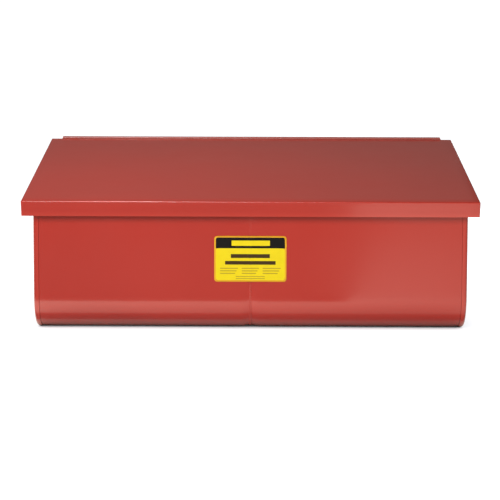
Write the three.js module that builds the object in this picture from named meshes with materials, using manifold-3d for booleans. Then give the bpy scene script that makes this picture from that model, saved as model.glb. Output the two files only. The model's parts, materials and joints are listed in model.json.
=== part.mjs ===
// Parts washer tank: a bench-top tank of red painted sheet steel. Its sloping lid hinges at the
// back and is held open by a slotted stay, whose bracket lets go when a fusible link melts.
// Parts drain on a slotted shelf that slides on two ledges, and the tank empties through a
// plug in the right end. Millimetres; +X right, front towards -Y, +Z up; the origin is on
// the ground under the middle of the whole object.
import * as THREE from 'three';
import { mergeVertices } from 'three/addons/utils/BufferGeometryUtils.js';
import Module from 'manifold-3d';

const wasm = await Module();
wasm.setup();

const { degToRad } = THREE.MathUtils;

// ---- driving dimensions ----

const SHEET = 1.2; // 18 gauge steel
const GAP = 0.3; // between pieces that touch

const LID_WIDTH = 921;
const LID_REACH = 524; // hinge axis to front lip, along the slope
const LID_FRONT_HEIGHT = 263; // ground to the top of the front lip
const LID_SLOPE = degToRad(12.5);
const LID_LIP = 31;
const LID_OVERHANG = 22; // past the tank, at the front

const TANK_WIDTH = 878;
const CORNER_RADIUS = 70; // front and back bottom bends
const LAP = 10.5; // how far each end panel's flange laps the shell
const RIM_FLANGE = 12;
const WELD_WIDTH = 5;
const WELD_PROUD = 0.4;

const LABEL_WIDTH = 146;
const LABEL_HEIGHT = 93;
const LABEL_RADIUS = 6;
const LABEL_THICKNESS = 0.6;
const LABEL_CENTRE_HEIGHT = 146;

const HINGE_LENGTH = 870;
const KNUCKLE_RADIUS = 3.5;
const KNUCKLE_BORE = 1.95;
const KNUCKLE_COUNT = 24;
const PIN_RADIUS = 1.6;
const LEAF_WIDTH = 26;
const HINGE_FLANGE = 28; // the shell's rearward flange, under the fixed leaf
const BACK_TO_PIN = 2; // the tank's back lies this far in front of the hinge pin

const STIFFENER_HALF = 30;
const STIFFENER_FOOT = 14;
const STIFFENER_DEPTH = 13;
const STIFFENER_BACK = 45; // forward of the hinge axis
const STIFFENER_LENGTH = 440;

const STAY_RADIUS = 140; // lid pivot and stud both lie this far from the hinge axis
const STAY_DROP = 25; // lid pivot below the hinge axis, square to the lid
const STAY_SPREAD = degToRad(12.3); // between the two, seen from the hinge, lid shut
const LID_OPEN = degToRad(75);
const ARM_WIDTH = 18;
const ARM_THICKNESS = 3;
const SLOT_WIDTH = 7.2;
const SLOT_END_MARGIN = 3;
const PIVOT_HOLE = 3.3; // radius

const LINK_LENGTH = 44;
const LINK_WIDTH = 12;
const LINK_DROP = 20; // below the hinge axis, square to the lid
const LINK_SPAN = 32; // between its two rivets
const LINK_HOLE = 2.3; // radius
const BRACKET_X = 430; // inner face of the hanging leg
const BRACKET_SHEET = 1.5;
const BRACKET_FOOT = 14;
const BRACKET_LENGTH = 105;
const BRACKET_MARGIN = 20; // behind the link's rear rivet
const PLATE_THICKNESS = 2;
const PLATE_BELOW_PIVOT = 11;
const PLATE_ABOVE_PIVOT = 14;
const PLATE_AHEAD_OF_PIVOT = 18;
const PLATE_BEHIND_RIVET = 9;
const PIVOT_TO_LINK = 22; // lid pivot back to the link's front rivet
const LINK_THICKNESS = 1.2;
const LINK_HEAD = 1.1; // rivet head height
const LINK_HEAD_RADIUS = 4;
const PIN_HEAD = 2;
const PIN_HEAD_RADIUS = 6.5;
const COLLAR_RADIUS = 5.5;
const RIVET_RECESS = 0.2; // rivet tails end just inside the far face

const LEDGE_LEG = 20;
const LEDGE_THICKNESS = 1.5;
const LEDGE_HEIGHT = 101; // ground to the top of the ledges
const LEDGE_LENGTH = 816;
const SHELF_LENGTH = 600;
const SHELF_LEFT = -425;
const SHELF_THICKNESS = 1.5;
const SHELF_SIDE_GAP = 2;
const SHELF_LIP = 12;
const SLOT_COLUMNS = 10;
const SLOT_ROWS = 12;
const SLOT_HALF = 4;
const SHELF_LIP_CLEAR = 6; // between the shelf's end lips and the ledges

const DRAIN_HEIGHT = 24;
const DRAIN_FROM_BACK = 110;
const COUPLING_RADIUS = 17;
const COUPLING_BORE = 13.8;
const PLUG_RADIUS = 13.4;
const PLUG_SQUARE = 15;
const PLUG_HEAD = 8;
const PLUG_SHANK = 22;
const COUPLING_IN = 14; // past the end panel's outer face, inwards and outwards
const COUPLING_OUT = 12;

// ---- places that follow from them ----

const HALF_LID = LID_WIDTH / 2;
const HALF_TANK = TANK_WIDTH / 2;
const PANEL_INSIDE = HALF_TANK - SHEET;

// Heights square to the lid's plane, measured from the hinge axis.
const LEAF_TOP = SHEET - KNUCKLE_RADIUS;
const LID_UNDERSIDE = LEAF_TOP + GAP;
const LID_TOP = LID_UNDERSIDE + SHEET;
const RIM_TOP = LID_UNDERSIDE - GAP - 0.1;
const HINGE_FLANGE_TOP = -KNUCKLE_RADIUS - GAP;
const LID_BACK = KNUCKLE_RADIUS + 0.5; // the lid sheet starts this far in front of the axis

const SIN = Math.sin(LID_SLOPE);
const COS = Math.cos(LID_SLOPE);

// The hinge axis, placed so that the whole depth is centred on Y = 0.
const FRONT_FROM_PIN = -LID_REACH * COS - LID_TOP * SIN;
const BACK_FROM_PIN = HINGE_FLANGE * COS - (HINGE_FLANGE_TOP - SHEET) * SIN;
const PIN_Y = -(FRONT_FROM_PIN + BACK_FROM_PIN) / 2;
const PIN_Z = LID_FRONT_HEIGHT + LID_REACH * SIN - LID_TOP * COS;

const TANK_FRONT = PIN_Y + FRONT_FROM_PIN + LID_OVERHANG;
const TANK_BACK = PIN_Y - BACK_TO_PIN;
const SHELL_INSET = SHEET + GAP; // the shell lies inside the end panels' flanges

// ---- helpers ----

const AXIS_X = new THREE.Vector3(1, 0, 0);
const AXIS_Y = new THREE.Vector3(0, 1, 0);
const AXIS_Z = new THREE.Vector3(0, 0, 1);
const SIDE_VIEW = new THREE.Matrix4().makeBasis(AXIS_Y, AXIS_Z, AXIS_X);
const FRONT_VIEW = new THREE.Matrix4().makeBasis(AXIS_X, AXIS_Z, AXIS_Y.clone().negate());

// A point of the side view: `forward` of the hinge axis along the lid, `up` square to it.
function lidPoint(forward, up) {
  const y = PIN_Y - forward * COS - up * SIN;
  const z = PIN_Z - forward * SIN + up * COS;
  return new THREE.Vector2(y, z);
}

// How far forward of the hinge axis the level `up` crosses the upright plane at y.
function forwardAt(y, up) {
  return (PIN_Y - up * SIN - y) / COS;
}

// The outline of folded sheet whose middle runs through the points, with mitred folds.
function foldedOutline(points, thickness) {
  const normals = points.slice(1).map((point, i) => {
    const along = point.clone().sub(points[i]).normalize();
    return new THREE.Vector2(-along.y, along.x);
  });
  const offsets = points.map((point, i) => {
    const before = normals[Math.max(i - 1, 0)];
    const after = normals[Math.min(i, normals.length - 1)];
    const share = thickness / 2 / (1 + before.dot(after));
    return before.clone().add(after).multiplyScalar(share);
  });
  const left = points.map((point, i) => point.clone().add(offsets[i]));
  const right = points.map((point, i) => point.clone().sub(offsets[i]));
  return new THREE.Shape([...left, ...right.reverse()]);
}

// A side-view outline given length along X.
function alongX(shape, x0, x1) {
  const start = Math.min(x0, x1);
  const depth = Math.abs(x1 - x0);
  const geometry = new THREE.ExtrudeGeometry(shape, { depth, bevelEnabled: false, curveSegments: 8 });
  return geometry.applyMatrix4(SIDE_VIEW).translate(start, 0, 0);
}

// A front-view outline given length towards the front, from y0 forwards.
function towardsFront(shape, y0, depth) {
  const geometry = new THREE.ExtrudeGeometry(shape, { depth, bevelEnabled: false, curveSegments: 6 });
  return geometry.applyMatrix4(FRONT_VIEW).translate(0, y0, 0);
}

function box([x0, x1], [y0, y1], [z0, z1]) {
  const geometry = new THREE.BoxGeometry(Math.abs(x1 - x0), Math.abs(y1 - y0), Math.abs(z1 - z0));
  return geometry.translate((x0 + x1) / 2, (y0 + y1) / 2, (z0 + z1) / 2);
}

// A turned piece about the X axis through (y, z); the profile is a list of [x, radius].
function turned(profile, y = 0, z = 0, segments = 20) {
  const points = profile.map(([x, radius]) => new THREE.Vector2(radius, x));
  const geometry = new THREE.LatheGeometry(points, segments);
  return geometry.rotateZ(-Math.PI / 2).translate(0, y, z);
}

function cylinderX(x0, x1, radius, y, z, segments = 20) {
  const geometry = new THREE.CylinderGeometry(radius, radius, x1 - x0, segments);
  return geometry.rotateZ(Math.PI / 2).translate((x0 + x1) / 2, y, z);
}

function toSolid(geometry) {
  const bare = geometry.clone();
  bare.deleteAttribute('normal');
  bare.deleteAttribute('uv');
  const merged = mergeVertices(bare, 1e-4);
  const vertProperties = new Float32Array(merged.attributes.position.array);
  const triVerts = new Uint32Array(merged.index.array);
  return new wasm.Manifold(new wasm.Mesh({ numProp: 3, vertProperties, triVerts }));
}

function toGeometry(solid) {
  const { vertProperties, triVerts } = solid.getMesh();
  const geometry = new THREE.BufferGeometry();
  geometry.setAttribute('position', new THREE.BufferAttribute(vertProperties, 3));
  geometry.setIndex(new THREE.BufferAttribute(triVerts, 1));
  geometry.computeVertexNormals();
  return geometry;
}

function join(...pieces) {
  return toGeometry(pieces.map(toSolid).reduce((whole, piece) => whole.add(piece)));
}

function cut(body, ...tools) {
  return toGeometry(tools.map(toSolid).reduce((rest, tool) => rest.subtract(tool), toSolid(body)));
}

// ---- materials ----

const finish = (color, roughness, metalness) => () =>
  new THREE.MeshStandardMaterial({ color, roughness, metalness });
const paint = finish('#ad2a21', 0.32, 0.0);
const zincSteel = finish('#a9adb0', 0.38, 0.9);
const brass = finish('#b58f4a', 0.35, 0.95);
const labelFilm = finish('#e6b022', 0.45, 0.0);

const tank = new THREE.Group();

function add(name, geometry, material, parent = tank) {
  const mesh = new THREE.Mesh(geometry, material());
  mesh.name = name;
  parent.add(mesh);
  return mesh;
}

// ---- shell: two halves of one wrapped sheet, butted at the middle ----

// Down the front, under and up the back, `inset` inside the end panels' outer faces.
function wrapPoints(inset, frontTop, backTop) {
  const front = TANK_FRONT + inset;
  const back = TANK_BACK - inset;
  const radius = CORNER_RADIUS - inset;
  const bend = (y, start) =>
    new THREE.EllipseCurve(y, CORNER_RADIUS, radius, radius, start, start + Math.PI / 2).getPoints(10);
  return [
    new THREE.Vector2(front, frontTop),
    ...bend(front + radius, Math.PI),
    ...bend(back - radius, 1.5 * Math.PI),
    new THREE.Vector2(back, backTop),
  ];
}

function levelAt(y, up) {
  return lidPoint(forwardAt(y, up), up).y;
}

const SHELL_MIDDLE = SHELL_INSET + SHEET / 2;

function shellOutline() {
  const rim = RIM_TOP - SHEET / 2;
  const hingeFlange = HINGE_FLANGE_TOP - SHEET / 2;
  const front = TANK_FRONT + SHELL_MIDDLE;
  const back = TANK_BACK - SHELL_MIDDLE;
  const wrap = wrapPoints(SHELL_MIDDLE, levelAt(front, rim), levelAt(back, hingeFlange));
  const frontTip = lidPoint(forwardAt(front, rim) + RIM_FLANGE, rim);
  const backTip = lidPoint(-HINGE_FLANGE, hingeFlange);
  return foldedOutline([frontTip, ...wrap, backTip], SHEET);
}

for (const [name, side] of [['shell_left', -1], ['shell_right', 1]]) {
  const seam = side * WELD_WIDTH / 2;
  add(name, alongX(shellOutline(), seam, side * (PANEL_INSIDE - GAP)), paint);
}

// The weld fills the butt, a little proud on both faces, and stops short of the two flanges.
function weldOutline() {
  const front = TANK_FRONT + SHELL_MIDDLE;
  const back = TANK_BACK - SHELL_MIDDLE;
  const frontTop = levelAt(front, RIM_TOP) - 3 * SHEET;
  const backTop = levelAt(back, HINGE_FLANGE_TOP) - 3 * SHEET;
  const wrap = wrapPoints(SHELL_MIDDLE, frontTop, backTop);
  return foldedOutline(wrap, SHEET + 2 * WELD_PROUD);
}

const WELD_HALF = WELD_WIDTH / 2 - GAP;
add('centre_weld', alongX(weldOutline(), -WELD_HALF, WELD_HALF), paint);

// ---- end panels: flat, with a flange lapped round the shell and a rim flange on top ----

const DRAIN_Y = TANK_BACK - DRAIN_FROM_BACK;

function endPanel(side) {
  const outside = side * HALF_TANK;
  const inside = side * PANEL_INSIDE;
  const lapFront = levelAt(TANK_FRONT, RIM_TOP - SHEET) - 2 * GAP;
  const lapBack = levelAt(TANK_BACK, HINGE_FLANGE_TOP - SHEET) - 3 * GAP;
  const plateTop = [levelAt(TANK_FRONT, RIM_TOP), levelAt(TANK_BACK, RIM_TOP)];
  const plate = alongX(new THREE.Shape(wrapPoints(0, ...plateTop)), inside, outside);
  const lapPoints = wrapPoints(SHEET / 2, lapFront, lapBack);
  const lap = alongX(foldedOutline(lapPoints, SHEET), side * (HALF_TANK - LAP), outside);
  const rimFront = lidPoint(forwardAt(TANK_FRONT, RIM_TOP), RIM_TOP - SHEET / 2);
  const rimBack = lidPoint(forwardAt(TANK_BACK, RIM_TOP), RIM_TOP - SHEET / 2);
  const rimOutline = foldedOutline([rimFront, rimBack], SHEET);
  const rim = alongX(rimOutline, inside, side * (HALF_TANK + RIM_FLANGE));
  return join(plate, lap, rim);
}

const drainHole = cylinderX(
  PANEL_INSIDE - LAP, HALF_TANK + LAP, COUPLING_RADIUS + GAP, DRAIN_Y, DRAIN_HEIGHT, 32);
add('end_panel_left', endPanel(-1), paint);
add('end_panel_right', cut(endPanel(1), drainHole), paint);

// ---- label: a film on the middle of the front, over the weld ----

function roundedRectangle(width, height, radius) {
  const [x, y] = [width / 2, height / 2];
  const shape = new THREE.Shape();
  shape.moveTo(x, radius - y);
  shape.absarc(x - radius, y - radius, radius, 0, Math.PI / 2);
  shape.absarc(radius - x, y - radius, radius, Math.PI / 2, Math.PI);
  shape.absarc(radius - x, radius - y, radius, Math.PI, 1.5 * Math.PI);
  shape.absarc(x - radius, radius - y, radius, 1.5 * Math.PI, 2 * Math.PI);
  return shape;
}

const LABEL_BACK = TANK_FRONT + SHELL_INSET - WELD_PROUD - GAP;
const labelOutline = roundedRectangle(LABEL_WIDTH, LABEL_HEIGHT, LABEL_RADIUS);
const label = add('label', towardsFront(labelOutline, 0, LABEL_THICKNESS), labelFilm);
label.position.set(0, LABEL_BACK, LABEL_CENTRE_HEIGHT);

// ---- hinge: two leaves with interleaved knuckles on one pin ----
// In this group +Y points back along the slope and +Z is square to the lid's plane.

function slopeGroup() {
  const group = new THREE.Group();
  group.position.set(0, PIN_Y, PIN_Z);
  group.rotation.x = LID_SLOPE;
  tank.add(group);
  return group;
}

// `direction` is 1 for the leaf behind the pin and -1 for the one in front of it.
function hingeLeaf(direction, firstKnuckle) {
  const pitch = HINGE_LENGTH / KNUCKLE_COUNT;
  const knuckle = new THREE.Shape().absarc(0, 0, KNUCKLE_RADIUS, 0, 2 * Math.PI);
  knuckle.holes.push(new THREE.Path().absarc(0, 0, KNUCKLE_BORE, 0, 2 * Math.PI));
  const half = HINGE_LENGTH / 2;
  const thickness = [-KNUCKLE_RADIUS, LEAF_TOP];
  const pieces = [box([-half, half], [direction * LID_BACK, direction * LEAF_WIDTH], thickness)];
  for (let i = firstKnuckle; i < KNUCKLE_COUNT; i += 2) {
    const x0 = -half + i * pitch + GAP / 2;
    const x1 = x0 + pitch - GAP;
    pieces.push(alongX(knuckle, x0, x1));
    pieces.push(box([x0, x1], [0, direction * (LID_BACK + 1)], thickness));
  }
  return join(...pieces);
}

const hinge = slopeGroup();
const pinHalf = HINGE_LENGTH / 2 + 0.5;
add('hinge_leaf_fixed', hingeLeaf(1, 0), paint, hinge);
add('hinge_pin', cylinderX(-pinHalf, pinHalf, PIN_RADIUS, 0, 0, 12), zincSteel, hinge);

// ---- lid: a shallow pan with lips at the front and both sides ----

const lid = slopeGroup();
add('hinge_leaf_moving', hingeLeaf(-1, 1), paint, lid);

function lidPan() {
  const block = box([-HALF_LID, HALF_LID], [-LID_REACH, -LID_BACK], [LID_TOP - LID_LIP, LID_TOP]);
  const hollow = box(
    [SHEET - HALF_LID, HALF_LID - SHEET],
    [SHEET - LID_REACH, 0],
    [LID_UNDERSIDE - LID_LIP, LID_UNDERSIDE]);
  return cut(block, hollow);
}

add('lid_pan', lidPan(), paint, lid);

// A hat-section stiffener runs front to back under the middle of the lid.
const stiffenerTop = LID_UNDERSIDE - GAP - SHEET / 2;
const hatPoints = [
  [-STIFFENER_HALF - STIFFENER_FOOT, 0],
  [-STIFFENER_HALF, 0],
  [-STIFFENER_HALF + STIFFENER_DEPTH / 2, -STIFFENER_DEPTH],
  [STIFFENER_HALF - STIFFENER_DEPTH / 2, -STIFFENER_DEPTH],
  [STIFFENER_HALF, 0],
  [STIFFENER_HALF + STIFFENER_FOOT, 0],
].map(([x, z]) => new THREE.Vector2(x, z + stiffenerTop));
const hat = towardsFront(foldedOutline(hatPoints, SHEET), -STIFFENER_BACK, STIFFENER_LENGTH);
add('lid_stiffener', hat, paint, lid);

// ---- stay bracket: the arm's pivot sits on a release plate, which only the fusible link
// ties to the bracket under the lid ----

const PIVOT_FORWARD = Math.sqrt(STAY_RADIUS ** 2 - STAY_DROP ** 2);
const LINK_FRONT = PIVOT_FORWARD - PIVOT_TO_LINK;
const LINK_BACK = LINK_FRONT - LINK_SPAN;
const PLATE_X = BRACKET_X - GAP - PLATE_THICKNESS;
const LINK_X = PLATE_X - GAP - LINK_THICKNESS;
const LINK_HEAD_X = LINK_X - GAP - LINK_HEAD;
const ARM_X = LINK_HEAD_X - GAP - ARM_THICKNESS;
const ARM_HEAD_X = ARM_X - GAP - PIN_HEAD;

// A tool that cuts a hole through the bracket or the release plate.
function bracketHole(x, radius, forward, drop) {
  return cylinderX(x - 1, x + 2 * PLATE_THICKNESS, radius, -forward, -drop);
}

const bracketTop = LID_UNDERSIDE - GAP - BRACKET_SHEET / 2;
const legX = BRACKET_X + BRACKET_SHEET / 2;
const bracketPoints = [
  new THREE.Vector2(BRACKET_X - BRACKET_FOOT, bracketTop),
  new THREE.Vector2(legX, bracketTop),
  new THREE.Vector2(legX, -STAY_DROP - PLATE_BELOW_PIVOT),
];
const bracketOutline = foldedOutline(bracketPoints, BRACKET_SHEET);
const bracketBlank = towardsFront(bracketOutline, BRACKET_MARGIN - LINK_BACK, BRACKET_LENGTH);
const rearRivetHole = bracketHole(BRACKET_X, LINK_HOLE, LINK_BACK, LINK_DROP);
add('stay_bracket', cut(bracketBlank, rearRivetHole), zincSteel, lid);

const plateBlank = box(
  [PLATE_X, PLATE_X + PLATE_THICKNESS],
  [-PIVOT_FORWARD - PLATE_AHEAD_OF_PIVOT, PLATE_BEHIND_RIVET - LINK_FRONT],
  [-STAY_DROP - PLATE_BELOW_PIVOT, PLATE_ABOVE_PIVOT - STAY_DROP]);
const pivotHole = bracketHole(PLATE_X, PIVOT_HOLE, PIVOT_FORWARD, STAY_DROP);
const frontRivetHole = bracketHole(PLATE_X, LINK_HOLE, LINK_FRONT, LINK_DROP);
add('release_plate', cut(plateBlank, pivotHole, frontRivetHole), zincSteel, lid);

function linkOutline() {
  const half = LINK_LENGTH / 2;
  const radius = LINK_WIDTH / 2;
  const shape = new THREE.Shape();
  shape.absarc(half - radius, 0, radius, -Math.PI / 2, Math.PI / 2);
  shape.absarc(radius - half, 0, radius, Math.PI / 2, 1.5 * Math.PI);
  for (const end of [-1, 1]) {
    shape.holes.push(new THREE.Path().absarc(end * LINK_SPAN / 2, 0, LINK_HOLE, 0, 2 * Math.PI));
  }
  return shape;
}

const link = add('fusible_link', alongX(linkOutline(), 0, LINK_THICKNESS), brass, lid);
link.position.set(LINK_X, -(LINK_FRONT + LINK_BACK) / 2, -LINK_DROP);

// A rivet's or pin's profile along X: a domed head of `thickness`, then the given steps.
function headProfile(headX, thickness, headRadius, steps) {
  const inner = headX + thickness;
  const dome = [[headX, 0], [headX, headRadius * 0.55], [headX + thickness * 0.5, headRadius]];
  return [...dome, [inner, headRadius], [inner, steps[0][1]], ...steps];
}

// The steps of a shank that carries a collar between two pieces and ends at `tail`.
function collared(shank, [collarStart, collarEnd], collarRadius, tail) {
  return [
    [collarStart, shank], [collarStart, collarRadius], [collarEnd, collarRadius],
    [collarEnd, shank], [tail, shank], [tail, 0],
  ];
}

const LINK_SHANK = LINK_HOLE - GAP;
const plateTail = PLATE_X + PLATE_THICKNESS - RIVET_RECESS;
const bracketTail = BRACKET_X + BRACKET_SHEET - RIVET_RECESS;
const linkCollar = [LINK_X + LINK_THICKNESS + GAP, BRACKET_X - GAP];
const frontRivet = headProfile(
  LINK_HEAD_X, LINK_HEAD, LINK_HEAD_RADIUS, [[plateTail, LINK_SHANK], [plateTail, 0]]);
const backRivet = headProfile(
  LINK_HEAD_X, LINK_HEAD, LINK_HEAD_RADIUS,
  collared(LINK_SHANK, linkCollar, LINK_HEAD_RADIUS, bracketTail));
add('link_rivet_front', turned(frontRivet, -LINK_FRONT, -LINK_DROP, 16), brass, lid);
add('link_rivet_back', turned(backRivet, -LINK_BACK, -LINK_DROP, 16), brass, lid);

const ARM_OUTSIDE = ARM_X + ARM_THICKNESS + GAP;
const pivotPin = headProfile(
  ARM_HEAD_X, PIN_HEAD, PIN_HEAD_RADIUS,
  collared(PIVOT_HOLE - GAP, [ARM_OUTSIDE, PLATE_X - GAP], COLLAR_RADIUS, plateTail));
add('pivot_rivet', turned(pivotPin, -PIVOT_FORWARD, -STAY_DROP), zincSteel, lid);

// ---- slotted stay arm ----
// Pivot and stud are equally far from the hinge axis, so the arm turns exactly half as far as
// the lid, and the stud keeps to the slot's centre line.

const PIVOT_ANGLE = LID_SLOPE + Math.asin(STAY_DROP / STAY_RADIUS); // below the horizontal
const STUD_ANGLE = PIVOT_ANGLE + STAY_SPREAD;

function stayPoint(angle) {
  const y = PIN_Y - STAY_RADIUS * Math.cos(angle);
  return new THREE.Vector2(y, PIN_Z - STAY_RADIUS * Math.sin(angle));
}

const REACH_SHUT = 2 * STAY_RADIUS * Math.sin(STAY_SPREAD / 2);
const REACH_OPEN = 2 * STAY_RADIUS * Math.sin((STAY_SPREAD + LID_OPEN) / 2);
const SLOT_RADIUS = SLOT_WIDTH / 2;

// The arm hangs along -Z from its pivot; Y is across it.
function armOutline() {
  const half = ARM_WIDTH / 2;
  const slotTop = -REACH_SHUT;
  const slotEnd = -REACH_OPEN;
  const armEnd = slotEnd - SLOT_END_MARGIN;
  const shape = new THREE.Shape();
  shape.absarc(0, 0, half, 0, Math.PI);
  shape.absarc(0, armEnd, half, Math.PI, 2 * Math.PI);
  shape.holes.push(new THREE.Path().absarc(0, 0, PIVOT_HOLE, 0, 2 * Math.PI));
  const slot = new THREE.Path();
  slot.absarc(0, slotTop, SLOT_RADIUS, 0, Math.PI);
  slot.absarc(0, slotEnd, SLOT_RADIUS, Math.PI, 2 * Math.PI);
  shape.holes.push(slot);
  return shape;
}

const pivotPoint = stayPoint(PIVOT_ANGLE);
const arm = add('stay_arm', alongX(armOutline(), 0, ARM_THICKNESS), zincSteel);
arm.position.set(ARM_X, pivotPoint.x, pivotPoint.y);
arm.rotation.x = (PIVOT_ANGLE + STUD_ANGLE) / 2;

const studPoint = stayPoint(STUD_ANGLE);
const studProfile = headProfile(ARM_HEAD_X, PIN_HEAD, PIN_HEAD_RADIUS, [
  [ARM_OUTSIDE, SLOT_RADIUS - 2 * GAP],
  [ARM_OUTSIDE, COLLAR_RADIUS],
  [PANEL_INSIDE - GAP, COLLAR_RADIUS],
  [PANEL_INSIDE - GAP, 0],
]);
add('stay_stud', turned(studProfile, studPoint.x, studPoint.y), zincSteel);

// ---- drain shelf on its two ledges ----

const WALL_TO_LEDGE = SHELL_INSET + SHEET + WELD_PROUD + GAP;

function ledge(wallY, inwards) {
  const leg = wallY + inwards * (WALL_TO_LEDGE + LEDGE_THICKNESS / 2);
  const top = LEDGE_HEIGHT - LEDGE_THICKNESS / 2;
  const points = [
    new THREE.Vector2(leg, top - LEDGE_LEG),
    new THREE.Vector2(leg, top),
    new THREE.Vector2(leg + inwards * LEDGE_LEG, top),
  ];
  return alongX(foldedOutline(points, LEDGE_THICKNESS), -LEDGE_LENGTH / 2, LEDGE_LENGTH / 2);
}

add('shelf_ledge_front', ledge(TANK_FRONT, 1), paint);
add('shelf_ledge_back', ledge(TANK_BACK, -1), paint);

function drainShelf() {
  const inset = WALL_TO_LEDGE + SHELF_SIDE_GAP;
  const [front, back] = [TANK_FRONT + inset, TANK_BACK - inset];
  const bottom = LEDGE_HEIGHT + GAP;
  const right = SHELF_LEFT + SHELF_LENGTH;
  const plate = box([SHELF_LEFT, right], [front, back], [bottom, bottom + SHELF_THICKNESS]);
  const clearOfLedge = LEDGE_LEG + SHELF_LIP_CLEAR;
  const lipY = [front + clearOfLedge, back - clearOfLedge];
  const lipZ = [bottom - SHELF_LIP, bottom + SHELF_THICKNESS / 2];
  const lipLeft = box([SHELF_LEFT, SHELF_LEFT + SHELF_THICKNESS], lipY, lipZ);
  const lipRight = box([right - SHELF_THICKNESS, right], lipY, lipZ);
  const columnPitch = SHELF_LENGTH / SLOT_COLUMNS;
  const rowPitch = (lipY[1] - lipY[0]) / SLOT_ROWS;
  const slots = [];
  for (let column = 0; column < SLOT_COLUMNS; column += 1) {
    for (let row = 0; row < SLOT_ROWS; row += 1) {
      const x = SHELF_LEFT + columnPitch * (column + 0.5);
      const y = lipY[0] + rowPitch * (row + 0.5);
      const across = [x - columnPitch / 3, x + columnPitch / 3];
      slots.push(box(across, [y - SLOT_HALF, y + SLOT_HALF], [bottom - 1, bottom + SHELF_LIP]));
    }
  }
  return cut(join(plate, lipLeft, lipRight), ...slots);
}

add('drain_shelf', drainShelf(), zincSteel);

// ---- drain: half coupling through the right end panel, and its square-headed plug ----

const COUPLING_INSIDE = HALF_TANK - COUPLING_IN;
const COUPLING_OUTSIDE = HALF_TANK + COUPLING_OUT;
const couplingProfile = [
  [COUPLING_INSIDE, COUPLING_BORE],
  [COUPLING_INSIDE, COUPLING_RADIUS],
  [COUPLING_OUTSIDE, COUPLING_RADIUS],
  [COUPLING_OUTSIDE, COUPLING_BORE],
  [COUPLING_INSIDE, COUPLING_BORE],
];
add('drain_coupling', turned(couplingProfile, DRAIN_Y, DRAIN_HEIGHT, 32), zincSteel);

const plugShank = cylinderX(
  COUPLING_OUTSIDE - PLUG_SHANK, COUPLING_OUTSIDE + 2 * GAP, PLUG_RADIUS, DRAIN_Y, DRAIN_HEIGHT, 32);
const halfSquare = PLUG_SQUARE / 2;
const plugHead = box(
  [COUPLING_OUTSIDE, COUPLING_OUTSIDE + PLUG_HEAD],
  [DRAIN_Y - halfSquare, DRAIN_Y + halfSquare],
  [DRAIN_HEIGHT - halfSquare, DRAIN_HEIGHT + halfSquare]);
add('drain_plug', join(plugShank, plugHead), brass);

export default tank;
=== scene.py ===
"""The looks of the parts washer tank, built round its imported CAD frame.

Metres, in the frame's own axes: +X right, front towards -Y, +Z up. Every piece takes its
place from the frame's boxes and joints. A "sheet" is a surface of quads that is bent, then
given the steel's thickness.
"""
import json
import math

import bmesh
import bpy
from mathutils import Matrix, Vector, noise


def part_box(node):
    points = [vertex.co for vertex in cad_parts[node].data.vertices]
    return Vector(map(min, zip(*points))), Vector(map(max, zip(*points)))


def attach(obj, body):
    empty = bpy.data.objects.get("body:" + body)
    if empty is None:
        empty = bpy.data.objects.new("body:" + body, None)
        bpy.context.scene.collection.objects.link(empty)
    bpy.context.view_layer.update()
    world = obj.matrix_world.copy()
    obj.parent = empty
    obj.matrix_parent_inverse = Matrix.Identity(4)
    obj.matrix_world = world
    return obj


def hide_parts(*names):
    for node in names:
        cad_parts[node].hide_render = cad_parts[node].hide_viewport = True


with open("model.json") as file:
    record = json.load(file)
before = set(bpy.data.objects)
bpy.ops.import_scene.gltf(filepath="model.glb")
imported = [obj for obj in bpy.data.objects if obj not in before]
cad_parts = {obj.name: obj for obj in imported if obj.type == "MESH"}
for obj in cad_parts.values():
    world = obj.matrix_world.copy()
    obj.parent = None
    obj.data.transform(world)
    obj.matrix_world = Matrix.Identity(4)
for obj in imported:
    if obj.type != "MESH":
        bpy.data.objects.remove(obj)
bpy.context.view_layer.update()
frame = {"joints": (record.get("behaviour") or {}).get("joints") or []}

MM = 0.001

# ---- what the frame says ----

JOINTS = {joint["name"]: joint for joint in frame["joints"]}
PIN = Vector(JOINTS["lid_hinge"]["pos_m"])
STAY_PIVOT = Vector(JOINTS["stay_pivot"]["pos_m"])

# Sizes that the CAD part was made to.
SHEET = 1.2 * MM
GAP = 0.3 * MM
SLOPE = math.radians(12.5)
LID_REACH = 524 * MM
LID_LIP = 31 * MM
LID_TOP = -0.8 * MM  # of the lid, square to its plane, from the hinge axis
LID_UNDER = LID_TOP - SHEET
LID_BACK = 4 * MM
KNUCKLE_RADIUS = 3.5 * MM
KNUCKLES = 24
HINGE_LENGTH = 870 * MM
LEAF_WIDTH = 26 * MM
HINGE_FLANGE = 28 * MM
HINGE_FLANGE_TOP = -KNUCKLE_RADIUS - GAP
RIM_TOP = LID_UNDER - GAP - 0.1 * MM  # of the tank's rim, which the lid lies on
RIM_FLANGE = 12 * MM
BOTTOM_RADIUS = 70 * MM
LAP = 10.5 * MM  # of the end panels' flanges over the shell
LABEL_RADIUS = 6 * MM
BRACKET_SHEET = 1.5 * MM  # of the ledges, the shelf and the stay's bracket

HALF_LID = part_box("lid_pan")[1].x
HALF_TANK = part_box("shell_right")[1].x + SHEET + GAP
PANEL_INSIDE = HALF_TANK - SHEET
LAP_EDGE = HALF_TANK - LAP
TANK_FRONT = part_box("end_panel_right")[0].y
TANK_BACK = PIN.y - 2 * MM
INSIDE = Vector((0, (TANK_FRONT + TANK_BACK) / 2, 0.2))  # a place well inside the tank
SHELL_INSET = SHEET + GAP
FACE_INSET = 0.5 * MM  # of the shell's face, which dips under the end flanges
FACE = TANK_FRONT + FACE_INSET


def lid_point(x, forward, up):
    """A point `forward` of the hinge axis along the lid and `up` square to it."""
    y = PIN.y - forward * math.cos(SLOPE) - up * math.sin(SLOPE)
    return Vector((x, y, PIN.z - forward * math.sin(SLOPE) + up * math.cos(SLOPE)))


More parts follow.
